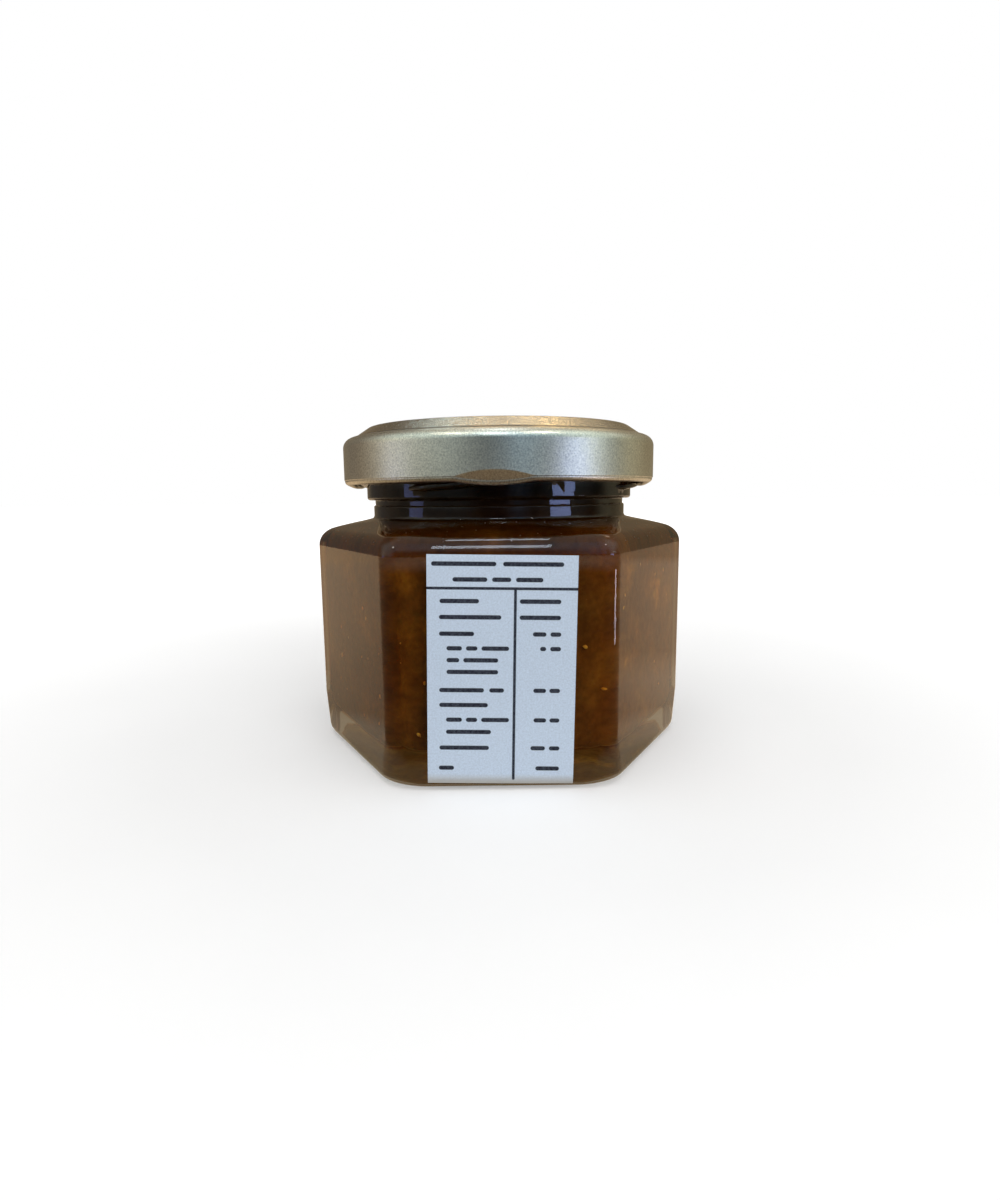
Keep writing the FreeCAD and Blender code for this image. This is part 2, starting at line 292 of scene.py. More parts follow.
def begin(name):
    """An empty piece, open for modelling in edit mode."""
    bpy.ops.object.select_all(action="DESELECT")
    piece = bpy.data.objects.new(name, bpy.data.meshes.new(name))
    scene.collection.objects.link(piece)
    bpy.context.view_layer.objects.active = piece
    piece.select_set(True)
    bpy.ops.object.mode_set(mode="EDIT")
    select_by("VERT")
    return piece


def select_by(kind):
    """Sets whether points, edges or faces are selected."""
    bpy.context.tool_settings.mesh_select_mode = [kind == k for k in ("VERT", "EDGE", "FACE")]


def pick(kind, wanted):
    """Selects the points or the edges that a test picks."""
    bpy.ops.mesh.select_all(action="DESELECT")
    select_by(kind)
    mesh = bpy.context.object.data
    form = bmesh.from_edit_mesh(mesh)
    for part in form.verts if kind == "VERT" else form.edges:
        part.select = wanted(part)
    form.select_flush_mode()
    bmesh.update_edit_mesh(mesh)


def pick_open_edges():
    """Selects the edges that have no face on one side or on either."""
    pick("EDGE", lambda edge: len(edge.link_faces) < 2)


def finish_form(piece, angle=35.0):
    """Turns all faces outwards, leaves edit mode and smooths what is flatter than an angle."""
    bpy.ops.mesh.select_all(action="SELECT")
    bpy.ops.mesh.normals_make_consistent(inside=False)
    bpy.ops.object.mode_set(mode="OBJECT")
    bpy.ops.object.shade_smooth_by_angle(angle=math.radians(angle))
    return piece


def only(piece):
    """Makes a piece the only selected and the active one."""
    bpy.ops.object.select_all(action="DESELECT")
    piece.select_set(True)
    bpy.context.view_layer.objects.active = piece


def apply_modifier(piece, kind, **values):
    """Adds a modifier with these values and applies it."""
    only(piece)
    modifier = piece.modifiers.new(kind.title(), kind)
    for key, value in values.items():
        setattr(modifier, key, value)
    bpy.ops.object.modifier_apply(modifier=modifier.name)


def copy_of(piece):
    """A copy with a form of its own."""
    copy = piece.copy()
    copy.data = piece.data.copy()
    scene.collection.objects.link(copy)
    return copy


def keep_faces_flat(piece):
    """Lets the large faces keep their own normals, so that only the roundings curve."""
    apply_modifier(piece, "WEIGHTED_NORMAL", keep_sharp=True)


def rounded(corners, chord):
    """(radius, height) points along (radius, height, rounding) corners, arcs cut in chords."""
    points = []
    for index, (radius, height, rounding) in enumerate(corners):
        here = Vector((radius, height))
        if rounding == 0:
            points.append(here)
            continue
        back = (Vector(corners[index - 1][:2]) - here).normalized()
        ahead = (Vector(corners[(index + 1) % len(corners)][:2]) - here).normalized()
        half = back.angle(ahead) / 2
        turn = math.pi - 2 * half
        centre = here + (back + ahead).normalized() * (rounding / math.sin(half))
        first = here + back * (rounding / math.tan(half)) - centre
        last = here + ahead * (rounding / math.tan(half)) - centre
        steps = max(3, round(rounding * turn / chord))
        for step in range(steps + 1):
            share = turn * step / steps
            spoke = first * math.sin(turn - share) + last * math.sin(share)
            points.append(centre + spoke / math.sin(turn))
    return points


# --- rings: rounded hexagons and circles with the same number of points ---

def add_hexagon_ring(flat, rounding, height):
    """A rounded hexagon beside the open piece's faces, and bridged to them if there are any."""
    bpy.ops.mesh.select_all(action="DESELECT")
    select_by("VERT")
    bpy.ops.mesh.primitive_circle_add(
        vertices=SIDES, radius=flat / math.cos(HALF_FACE) * MM, location=(0, 0, height * MM),
        rotation=(0, 0, HALF_FACE))
    bpy.ops.mesh.bevel(
        offset_type="OFFSET", offset=rounding * math.tan(HALF_FACE) * MM,
        segments=CORNER_SEGMENTS, affect="VERTICES", profile=0.5)
    side = 2 * (flat - rounding) * math.tan(HALF_FACE) * MM
    pick("EDGE", lambda edge: not edge.link_faces and edge.calc_length() > 0.9 * side
         and abs(edge.verts[0].co.z - height * MM) < SAME_LEVEL)
    bpy.ops.mesh.subdivide(number_cuts=FACE_CUTS)
    select_by("VERT")


def close_ring():
    """One flat face inside the open ring."""
    pick_open_edges()
    bpy.ops.mesh.edge_face_add()


def bridge_to_ring():
    """Faces between the open edge of the piece and the new ring."""
    pick_open_edges()
    bpy.ops.mesh.bridge_edge_loops()


def add_round_ring(radius, height):
    """A circle with as many points as a hexagon ring."""
    add_hexagon_ring(radius, radius * ROUND_SHARE, height)
    pick("EDGE", lambda edge: len(edge.link_faces) < 2
         and abs(edge.verts[0].co.z - height * MM) < SAME_LEVEL)
    middle = (0, 0, height * MM)
    bpy.ops.transform.tosphere(value=1.0, center_override=middle)
    form = bmesh.from_edit_mesh(bpy.context.object.data)
    now = max(point.co.xy.length for point in form.verts if point.select)
    growth = radius * MM / now
    bpy.ops.transform.resize(value=(growth, growth, 1), center_override=middle)


def extend_round(points, radius, height):
    """Carries the open circle on through (radius, height) points."""
    for point in points:
        pick_open_edges()
        bpy.ops.mesh.extrude_edges_move(
            TRANSFORM_OT_translate={"value": (0, 0, (point.y - height) * MM)})
        growth = point.x / radius
        bpy.ops.transform.resize(value=(growth, growth, 1),
                                 center_override=(0, 0, point.y * MM))
        radius, height = point.x, point.y


def hexagon_rings(flat, rounding, foot_rounding, floor, edge_height, neck_radius, neck_height,
                  heel, shoulder, chord=0.6):
    """(flat, rounding, height) of the rings from the heel up to the shoulder's inner edge."""
    foot_top = floor + foot_height
    foot_steps = [(flat, floor + heel + (foot_height - heel) * step / 4, 0)
                  for step in (1, 2, 3)]
    profile = rounded(
        [(0, floor, 0), (flat, floor, heel)] + foot_steps
        + [(flat, foot_top, 0), (flat, (foot_top + edge_height) / 2, 0),
           (flat, edge_height, shoulder), (neck_radius, neck_height, 0)], chord)
    rings = []
    for point in profile[1:-1]:
        foot_share = max(0, foot_top - point.y) / foot_height
        ring_rounding = rounding + foot_share * (foot_rounding - rounding)
        if point.y > foot_top:
            ring_rounding += corner_spread * (flat - point.x)
        rings.append((point.x, ring_rounding, point.y))
    return rings


def shoulder_rings(start, neck_radius, neck_height):
    """Rings on the straight slope from the shoulder's inner edge towards the neck."""
    flat, rounding, height = start
    rings = []
    for step in range(1, SLOPE_RINGS):
        share = step / SLOPE_RINGS
        width = flat + (neck_radius - flat) * share
        fullness = rounding + (width - rounding) * share ** 1.5
        rings.append((width, fullness, height + (neck_height - height) * share))
    return rings


def stack_rings(rings):
    """Bridges a run of hexagon rings on to the open edge of the piece."""
    for ring in rings:
        add_hexagon_ring(*ring)
        bridge_to_ring()


# --- the glass jar ---

def inner_rings(grow=0.0, chord=0.7):
    """Rings of the jar's inside, from the floor up, grown into the glass by a little."""
    inner_edge = shoulder_edge_height + shoulder_slope * wall - inner_drop
    inner_neck = shoulder_edge_height + shoulder_slope * (apothem - bore_radius) - inner_drop
    return hexagon_rings(
        apothem - wall + grow, inner_corner_radius + grow, inner_foot_corner_radius + grow,
        base_thickness - grow, inner_edge + grow, bore_radius + grow, inner_neck + grow,
        inner_heel_radius + grow, inner_shoulder_radius + grow, chord), inner_neck + grow


def model_glass():
    """The pressed glass: base, body, shoulder, neck finish, bore and inside in one form."""
    piece = begin("jar_glass")
    bearing_inner = apothem - heel_radius - bearing_width
    top_of_hollow = bearing_inner - push_up_slope
    add_round_ring(top_of_hollow, push_up_depth)
    close_ring()
    extend_round([Vector((bearing_inner, bearing_dish))], top_of_hollow, push_up_depth)
    outer = hexagon_rings(
        apothem, corner_radius, foot_corner_radius, 0.0, shoulder_edge_height,
        neck_root_radius, neck_base, heel_radius, shoulder_radius)
    stack_rings(outer)
    stack_rings(shoulder_rings(outer[-1], neck_root_radius, neck_base))
    add_round_ring(neck_root_radius, neck_base)
    bridge_to_ring()
    neck = rounded([
        (neck_root_radius, neck_base, 0),
        (support_ring_radius, neck_base + neck_fillet_rise, neck_fillet),
        (support_ring_radius, ring_top, 0.3),
        (groove_radius, ring_top + 0.05, 0.05),
        (groove_radius, finish_bottom, 0.15),
        (finish_radius, finish_bottom, neck_edge_radius),
        (finish_radius, rim_height, rim_radius),
        (bore_radius + mouth_bevel, rim_height, 0.2),
        (bore_radius, rim_height - mouth_bevel, 0.2),
        (bore_radius, jam_level, 0)], chord=0.2)
    extend_round(neck[1:], neck_root_radius, neck_base)
    inside, inner_neck = inner_rings()
    extend_round([Vector((bore_radius, inner_neck))], bore_radius, jam_level)
    stack_rings(reversed(inside + shoulder_rings(inside[-1], bore_radius, inner_neck)))
    close_ring()
    return finish_form(piece)


# --- turned pieces ---

def lay_profile(name, points, is_closed, faces=()):
    """A flat profile from (radius, height) points beside the jar's axis, open and selected."""
    piece = begin(name)
    bpy.ops.object.mode_set(mode="OBJECT")
    count = len(points)
    links = [(k, (k + 1) % count) for k in range(count if is_closed else count - 1)]
    piece.data.from_pydata([(p.x * MM, 0, p.y * MM) for p in points], links, faces)
    bpy.ops.object.mode_set(mode="EDIT")
    bpy.ops.mesh.select_all(action="SELECT")
    return piece


def turn_profile(name, points, steps, is_closed):
    """A piece spun all round the jar's axis, still in edit mode."""
    piece = lay_profile(name, points, is_closed)
    bpy.ops.mesh.spin(steps=steps, angle=FULL_TURN, center=ORIGIN, axis=AXIS)
    bpy.ops.mesh.select_all(action="SELECT")
    bpy.ops.mesh.remove_doubles(threshold=WELD)
    return piece


def press_lugs(piece):
    """Presses the four lugs in: a flat facet that leans inwards, the rolled edge drawn down."""
    half_width = cap_radius * math.sin(math.radians(lug_angle / 2))
    blend_top = bead_top + facet_blend
    for point in piece.data.vertices:
        x, y, z = point.co / MM
        for index in range(lug_count):
            turn = math.radians(lug_offset + lug_step * index - 90)
            out = x * math.cos(turn) + y * math.sin(turn)
            aside = -x * math.sin(turn) + y * math.cos(turn)
            if out < 0 or abs(aside) > half_width or z > blend_top:
                continue
            weight = 1 - (aside / half_width) ** 2
            crease = bead_top + facet_rise * weight
            if z > bead_top:
                z = blend_top - (blend_top - z) * (blend_top - crease) / facet_blend
            elif z > bead_top - bead_step:
                share = (bead_top - z) / bead_step
                foot = bead_top - bead_step - lug_dip * weight
                z = crease + (foot - crease) * share
                out -= lug_press * weight * share
            else:
                z -= lug_dip * weight
                out = max(out - lug_press * weight, min(out, thread_crest + lug_gap))
            point.co = Vector((out * math.cos(turn) - aside * math.sin(turn),
                               out * math.sin(turn) + aside * math.cos(turn), z)) * MM


def model_lid():
    """Twist-off lid: panel, button, ridge, crease, rounded corner, skirt and rolled edge."""
    panel_top = ridge_top - ridge_height
    button_edge = button_radius + button_slope
    skirt_rows = [(cap_radius, bead_top + facet_blend * step / SKIRT_ROWS, 0)
                  for step in range(SKIRT_ROWS, 0, -1)]
    bead_radius = cap_radius - bead_inset
    outside = rounded([
        (0, panel_top - button_dip, 0),
        (button_radius, panel_top - button_dip, button_rounding),
        (button_edge, panel_top, button_rounding),
        (ridge_radius - ridge_width - ridge_height, panel_top, 0.5),
        (ridge_radius - ridge_width, ridge_top, 0.4),
        (ridge_radius, ridge_top, 0.5),
        (crease_radius, ridge_top - crease_drop, 0.35),
        (cap_radius, ridge_top - crease_drop, cap_corner_radius)] + skirt_rows, chord=0.22)
    groove = [Vector((cap_radius - bead_inset * share, bead_top - bead_step * share))
              for share in (0.0, 0.15, 0.4, 0.7, 1.0)]
    bead = rounded([
        (bead_radius, bead_top - bead_step, 0),
        (bead_radius, curl_bottom, bead_rounding),
        (bead_radius - bead_width, curl_bottom, bead_rounding),
        (bead_radius - bead_width, curl_bottom + bead_lip, 0.6),
        (bead_radius - bead_return, curl_bottom + bead_lip, 0)], chord=0.16)
    inside = []
    for index, point in enumerate(outside):
        before = outside[max(index - 1, 0)]
        after = outside[min(index + 1, len(outside) - 1)]
        along = (after - before).normalized()
        inside.append(point + Vector((along.y, -along.x)) * sheet)
    inside[0].x = 0.0
    points = outside + groove + bead[1:] + inside[::-1]
    piece = turn_profile("lid_shell", points, LID_STEPS, False)
    finish_form(piece, 32.0)
    press_lugs(piece)
    return piece


def model_liner():
    """The ring of sealing compound under the panel, on the rim."""
    top = ridge_top - ridge_height - sheet - seal_gap
    inner, outer = bore_radius - seal_margin, finish_radius + seal_margin
    points = rounded([(inner, rim_height, 0), (outer, rim_height, 0), (outer, top, 0.12),
                      (inner, top, 0.12)], chord=0.1)
    return finish_form(turn_profile("lid_seal", points, SEAL_STEPS, True))


def fade_thread_ends(ridge, inside, middle):
    """Lets a thread run out into the glass at both ends."""
    whole = thread_low_end + thread_high_end
    for point in ridge.data.vertices:
        radius = point.co.xy.length / MM
        angle = math.degrees(math.atan2(point.co.y, point.co.x)) % 360
        from_end = min(angle, whole - angle) + thread_stub
        share = min(1.0, max(from_end / thread_fade, thread_least))
        share = math.sin(share * math.pi / 2)
        shrunk = inside + (radius - inside) * share
        point.co.xy *= shrunk / radius
        flatter = thread_end_height + (1 - thread_end_height) * share
        point.co.z = (middle + (point.co.z / MM - middle) * flatter) * MM


def model_threads():
    """The four slanting ridges on the finish, one over each lug."""
    inside = finish_radius - thread_root
    crest = thread_crest
    flank = (thread_height - thread_tip_height) / 2
    fall = crest * math.sin(math.radians(lug_angle / 2)) * math.tan(math.radians(thread_tilt))
    seat = curl_bottom - thread_drop + fall
    points = rounded([
        (inside, 0, 0),
        (finish_radius, 0, 0.12),
        (crest, flank, 0.18),
        (crest, flank + thread_tip_height, 0.3),
        (finish_radius, thread_height, 0.3),
        (inside, thread_height, 0)], chord=0.15)
    piece = lay_profile("threads", points, True, [list(range(len(points)))])
    whole = math.radians(thread_low_end + thread_high_end)
    bpy.ops.mesh.spin(steps=THREAD_STEPS, angle=-whole, center=ORIGIN, axis=AXIS)
    close_ring()
    finish_form(piece)
    fade_thread_ends(piece, inside, thread_height / 2)
    turns = (Matrix.Rotation(math.radians(-90 + lug_offset), 4, "Z")
             @ Matrix.Translation((0, 0, seat * MM))
             @ Matrix.Rotation(math.radians(thread_tilt), 4, "X")
             @ Matrix.Rotation(math.radians(-thread_low_end), 4, "Z"))
    piece.data.transform(turns)
    return piece


def add_threads(jar):
    """Joins the threads to the glass."""
    ridge = model_threads()
    for index in range(lug_count):
        copy = copy_of(ridge)
        copy.data.transform(Matrix.Rotation(math.radians(lug_step * index), 4, "Z"))
        apply_modifier(jar, "BOOLEAN", operation="UNION", solver="EXACT", object=copy)
        bpy.data.objects.remove(copy)
    bpy.data.objects.remove(ridge)


# --- the jam ---

def model_filling(name, grow):
    """The inside of the jar up to its neck as a form of its own, larger or smaller by a little."""
    piece = begin(name)
    rings, inner_neck = inner_rings(grow)
    radius = bore_radius + grow
    add_hexagon_ring(*rings[0])
    close_ring()
    stack_rings(rings[1:] + shoulder_rings(rings[-1], radius, inner_neck))
    add_round_ring(radius, inner_neck)
    bridge_to_ring()
    return piece, radius, inner_neck


def model_jelly():
    """The clear amber jelly that fills the glass, just into its wall, up to the jam's level."""
    piece, radius, inner_neck = model_filling("jam_jelly", into_wall)
    dips = ((radius, 0), (radius - 0.9, 0.35), (radius - 2.5, 0.6), (radius * 0.6, 0.5),
            (radius * 0.25, 0.7))
    surface = [Vector((width, jam_level - dip)) for width, dip in dips]
    extend_round(surface, radius, inner_neck)
    close_ring()
    return finish_form(piece)


def model_pulp():
    """The lumpy fig flesh inside the jelly, nearer the glass in some places than others."""
    piece, radius, inner_neck = model_filling("fig_pulp", -pulp_depth)
    extend_round([Vector((radius, jam_level - pulp_top_gap))], radius, inner_neck)
    close_ring()
    pick("VERT", lambda point: point.co.z < (base_thickness + pulp_depth + pulp_foot) * MM)
    bpy.ops.transform.translate(value=(0, 0, -pulp_sink * MM))
    finish_form(piece)
    apply_modifier(piece, "REMESH", mode="VOXEL", voxel_size=pulp_voxel * MM)
    for size, strength in PULP_LUMPS:
        pattern = bpy.data.textures.new("flesh lumps", "CLOUDS")
        pattern.noise_scale = size * MM
        apply_modifier(piece, "DISPLACE", texture=pattern, strength=strength * MM,
                       mid_level=pulp_swell, texture_coords="LOCAL")
    for point in piece.data.vertices:
        point.co.z = max(point.co.z, (base_thickness + floor_gap) * MM)
    bpy.ops.object.shade_smooth()
    return piece


def scatter_seeds():
    """Small fig seeds in the jelly near the glass, all in one piece."""
    draw = random.Random(SEED_DRAW)
    begin("seed")
    bpy.ops.mesh.primitive_ico_sphere_add(subdivisions=2, radius=1.0)
    bpy.ops.transform.resize(value=SEED_FORM)
    pick("VERT", lambda point: point.co.x > SEED_TIP_START)
    bpy.ops.transform.resize(value=SEED_TIP)
    bpy.ops.object.mode_set(mode="OBJECT")
    bpy.ops.object.shade_smooth()
    model = bpy.context.object
    copies = []
    for _ in range(SEED_COUNT):
        turn = HALF_FACE * (2 * draw.randrange(SIDES) + 1)
        depth = draw.uniform(*SEED_DEPTHS)
        across = draw.uniform(*SEED_SPAN) * (apothem - wall)
        height = draw.uniform(*SEED_LEVELS)
        out = apothem - wall - depth
        place = Vector((out * math.cos(turn) - across * math.sin(turn),
                        out * math.sin(turn) + across * math.cos(turn), height))
        copy = copy_of(model)
        tumble = Matrix.Identity(4)
        for axis in "XYZ":
            tumble = tumble @ Matrix.Rotation(draw.uniform(0, FULL_TURN), 4, axis)
        scale = SEED_SIZE * draw.uniform(*SEED_SCALES) * MM
        copy.data.transform(Matrix.Translation(place * MM) @ tumble @ Matrix.Scale(scale, 4))
        copies.append(copy)
    bpy.data.objects.remove(model)
    bpy.ops.object.select_all(action="DESELECT")
    for copy in copies:
        copy.select_set(True)
    bpy.context.view_layer.objects.active = copies[0]
    bpy.ops.object.join()
    copies[0].name = "fig_seeds"
    return copies[0]


# --- materials ---

def sum_node(tree, operation, *values):
    """A sum in a node tree; each value is a socket or a number."""
    node = tree.nodes.new("ShaderNodeMath")
    node.operation = operation
    for socket, value in zip(node.inputs, values):
        if isinstance(value, bpy.types.NodeSocket):
            tree.links.new(value, socket)
        else:
            socket.default_value = value
    return node.outputs[0]


class Finish:
    """A material in the making: its node tree, its shader and its pattern coordinates."""

    def __init__(self, name):
        self.material = bpy.data.materials.new(name)
        self.material.use_nodes = True
        self.tree = self.material.node_tree
        self.shader = self.tree.nodes["Principled BSDF"]
        self.output = self.tree.nodes["Material Output"]
        self.place = self.add("ShaderNodeTexCoord").outputs["Object"]

    def add(self, kind, **values):
        node = self.tree.nodes.new(kind)
        for key, value in values.items():
            setattr(node, key, value)
        return node

    def link(self, source, target):
        self.tree.links.new(source, target)

    def set(self, **values):
        for key, value in values.items():
            self.shader.inputs[key.replace("_", " ")].default_value = value

    def feed(self, value, socket):
        """Links a socket or sets a fixed number or colour."""
        if isinstance(value, bpy.types.NodeSocket):
            self.link(value, socket)
        elif isinstance(value, tuple):
            socket.default_value = (*value, 1.0)
        else:
            socket.default_value = value

    def paint(self, colour):
        """Gives the shader its colour."""
        self.link(colour, self.shader.inputs["Base Color"])

    def level(self):
        """The height above the table, in metres."""
        node = self.add("ShaderNodeSeparateXYZ")
        self.link(self.place, node.inputs["Vector"])
        return node.outputs["Z"]

    def length(self, place):
        """The length of a vector."""
        node = self.add("ShaderNodeVectorMath", operation="LENGTH")
        self.link(place, node.inputs[0])
        return node.outputs["Value"]

    def noise(self, scale, detail=3.0):
        """A noise pattern with so many lumps per metre."""
        node = self.add("ShaderNodeTexNoise")
        node.inputs["Scale"].default_value = scale
        node.inputs["Detail"].default_value = detail
        self.link(self.place, node.inputs["Vector"])
        return node.outputs["Fac"]

    def effect(self, name, **values):
        """One of the shared effects, read at this piece's own place where it needs one."""
        node = self.add("ShaderNodeGroup", node_tree=effects[name])
        if "Place" in node.inputs:
            self.link(self.place, node.inputs["Place"])
        for key, value in values.items():
            self.feed(value, node.inputs[key])
        return node.outputs

    def grain(self, scale, low, high):
        """Fine grain: its tone and its height."""
        made = self.effect("fine grain", Scale=scale, Low=low, High=high)
        return made["Tone"], made["Height"]

    def dust(self, scale, amount, size):
        """A mask of dust specks."""
        return self.effect("stray dust", Scale=scale, Amount=amount, Size=size)["Specks"]

    def ramp(self, value, stops):
        """A colour ramp over a value."""
        node = self.add("ShaderNodeValToRGB")
        band = node.color_ramp
        while len(band.elements) < len(stops):
            band.elements.new(1.0)
        for element, (place, colour) in zip(band.elements, stops):
            element.position = place
            element.color = (*colour, 1.0)
        self.link(value, node.inputs["Fac"])
        return node.outputs["Color"]

    def between(self, value, first, second):
        """Two colours over the middle of a pattern's range."""
        return self.ramp(value, [(0.3, first), (0.7, second)])

    def spread(self, value, low, high, new_low=0.0, new_high=1.0):
        """A value stretched from one range to another."""
        node = self.add("ShaderNodeMapRange")
        for key, number in zip(("From Min", "From Max", "To Min", "To Max"),
                               (low, high, new_low, new_high)):
            node.inputs[key].default_value = number
        self.link(value, node.inputs["Value"])
        return node.outputs["Result"]

    def calc(self, operation, *values):
        """A sum on values, each a socket or a fixed number."""
        return sum_node(self.tree, operation, *values)

    def mix(self, share, first, second, blend="MIX"):
        """Two colours mixed; either may be a fixed colour."""
        node = self.add("ShaderNodeMix", data_type="RGBA", blend_type=blend)
        sockets = [socket for socket in node.inputs if socket.enabled]
        for socket, value in zip(sockets, (share, first, second)):
            self.feed(value, socket)
        return [socket for socket in node.outputs if socket.enabled][0]

    def tone(self, colour, value):
        """A colour made darker or paler by a value."""
        return self.mix(1.0, colour, value, "MULTIPLY")

    def bump(self, height, strength, distance):
        """Relief from a height pattern, into the shader's normal."""
        node = self.add("ShaderNodeBump")
        node.inputs["Strength"].default_value = strength
        node.inputs["Distance"].default_value = distance * MM
        self.link(height, node.inputs["Height"])
        self.link(node.outputs["Normal"], self.shader.inputs["Normal"])

    def let_lamps_through(self, tint):
        """Lets lamp light pass the surface on its way to what is behind."""
        path = self.add("ShaderNodeLightPath")
        clear = self.add("ShaderNodeBsdfTransparent")
        clear.inputs["Color"].default_value = (*tint, 1.0)
        mixer = self.add("ShaderNodeMixShader")
        self.link(path.outputs["Is Shadow Ray"], mixer.inputs["Fac"])
        self.link(self.shader.outputs["BSDF"], mixer.inputs[1])
        self.link(clear.outputs["BSDF"], mixer.inputs[2])
        self.link(mixer.outputs["Shader"], self.output.inputs["Surface"])


def group_tree(name, inputs, outputs):
    """An empty node group; gives its tree, its inputs and its output sockets."""
    tree = bpy.data.node_groups.new(name, "ShaderNodeTree")
    for key in inputs:
        kind = "NodeSocketVector" if key == "Place" else "NodeSocketFloat"
        tree.interface.new_socket(key, in_out="INPUT", socket_type=kind)
    for key in outputs:
        tree.interface.new_socket(key, in_out="OUTPUT", socket_type="NodeSocketFloat")
    given = tree.nodes.new("NodeGroupInput").outputs
    result = tree.nodes.new("NodeGroupOutput").inputs
    return tree, given, result


def make_grain_group():
    """Fine grain: a tone between two levels and the height that goes with it."""
    tree, given, result = group_tree("fine grain", ("Place", "Scale", "Low", "High"),
                                     ("Tone", "Height"))
    noise = tree.nodes.new("ShaderNodeTexNoise")
    noise.inputs["Detail"].default_value = 3.0
    noise.inputs["Roughness"].default_value = 0.6
    tree.links.new(given["Place"], noise.inputs["Vector"])
    tree.links.new(given["Scale"], noise.inputs["Scale"])
    step = sum_node(tree, "SUBTRACT", noise.outputs["Fac"], 0.32)
    steep = sum_node(tree, "MULTIPLY", step, 2.8)
    height = sum_node(tree, "MAXIMUM", sum_node(tree, "MINIMUM", steep, 1.0), 0.0)
    span = sum_node(tree, "SUBTRACT", given["High"], given["Low"])
    tone = sum_node(tree, "ADD", sum_node(tree, "MULTIPLY", height, span), given["Low"])
    tree.links.new(tone, result["Tone"])
    tree.links.new(height, result["Height"])
    return tree


def make_dust_group():
    """Stray dust: a mask that is 1 on small round specks, few or many."""
    tree, given, result = group_tree("stray dust", ("Place", "Scale", "Amount", "Size"),
                                     ("Specks",))
    cells = tree.nodes.new("ShaderNodeTexVoronoi")
    tree.links.new(given["Place"], cells.inputs["Vector"])
    tree.links.new(given["Scale"], cells.inputs["Scale"])
    split = tree.nodes.new("ShaderNodeSeparateColor")
    tree.links.new(cells.outputs["Color"], split.inputs["Color"])
    chosen = sum_node(tree, "LESS_THAN", split.outputs["Red"], given["Amount"])
    size = sum_node(tree, "MULTIPLY", given["Size"], split.outputs["Green"])
    inside = sum_node(tree, "LESS_THAN", cells.outputs["Distance"], size)
    tree.links.new(sum_node(tree, "MULTIPLY", chosen, inside), result["Specks"])
    return tree


def make_dash_group():
    """A printed dash: 1 inside a level bar with round ends, 0 outside, soft at its edge."""
    tree, given, result = group_tree(
        "printed dash", ("Across", "Up", "Start", "End", "Level", "Thickness"), ("Ink",))

    def calc(operation, *values):
        return sum_node(tree, operation, *values)

    radius = calc("MULTIPLY", given["Thickness"], 0.5)
    before = calc("SUBTRACT", calc("ADD", given["Start"], radius), given["Across"])
    beyond = calc("SUBTRACT", given["Across"], calc("SUBTRACT", given["End"], radius))
    aside = calc("MAXIMUM", calc("MAXIMUM", before, beyond), 0.0)
    above = calc("SUBTRACT", given["Up"], given["Level"])
    reach = calc("SQRT", calc("ADD", calc("POWER", aside, 2.0), calc("POWER", above, 2.0)))
    depth = calc("SUBTRACT", radius, reach)
    soft = calc("ADD", calc("MULTIPLY", depth, 1 / INK_EDGE), 0.5)
    tree.links.new(calc("MAXIMUM", calc("MINIMUM", soft, 1.0), 0.0), result["Ink"])
    return tree


def glass_finish():
    """Clear moulded glass with the faint ripples of the mould and a little dust on top."""
    finish = Finish("moulded glass")
    finish.set(Base_Color=(0.95, 0.975, 0.94, 1.0), Transmission_Weight=1.0, IOR=1.5)
    level = finish.level()
    on_top = finish.spread(level, (shoulder_edge_height - 2) * MM, shoulder_edge_height * MM)
    below_neck = finish.spread(level, (neck_base - 0.2) * MM, (neck_base + 0.1) * MM, 1.0, 0.0)
    dusty = finish.calc("MULTIPLY", finish.dust(2300, 0.13, 0.26),
                        finish.calc("MULTIPLY", on_top, below_neck))
    rippled = finish.calc("MULTIPLY", finish.noise(120, detail=1.0),
                          finish.calc("ADD", below_neck, 0.12))
    height = finish.calc("ADD", rippled, finish.calc("MULTIPLY", dusty, 0.35))
    finish.bump(height, 0.22, 0.1)
    dulled = finish.calc("ADD", finish.calc("MULTIPLY", dusty, 0.5), 0.01)
    finish.link(dulled, finish.shader.inputs["Roughness"])
    finish.let_lamps_through((0.93, 0.95, 0.92))
    return finish.material


def unbent_finish(name, cloud, tints, lamp_tint):
    """A clear finish, faintly clouded, that bends no light: the outer glass has bent it."""
    finish = Finish(name)
    finish.paint(finish.between(finish.noise(*cloud), *tints))
    finish.set(Transmission_Weight=1.0, Roughness=0.0, IOR=1.0, Specular_IOR_Level=0.0)
    finish.let_lamps_through(lamp_tint)
    return finish


def wetted_finish():
    """The inside of the glass where jam wets it: light bends as little in jam as in glass."""
    return unbent_finish("wetted glass", (60, 1.0), ((0.97, 0.98, 0.95), (1.0, 1.0, 0.98)),
                         (0.97, 0.98, 0.96)).material


def jelly_finish():
    """Amber jelly, clear but deep in colour."""
    finish = unbent_finish("amber jelly", (70, 2.0), ((0.97, 0.9, 0.78), (1.0, 0.96, 0.88)),
                           (0.95, 0.85, 0.6))
    depth = finish.add("ShaderNodeVolumeAbsorption")
    depth.inputs["Color"].default_value = (0.86, 0.56, 0.05, 1.0)
    depth.inputs["Density"].default_value = 430.0
    finish.link(depth.outputs["Volume"], finish.output.inputs["Volume"])
    return finish.material


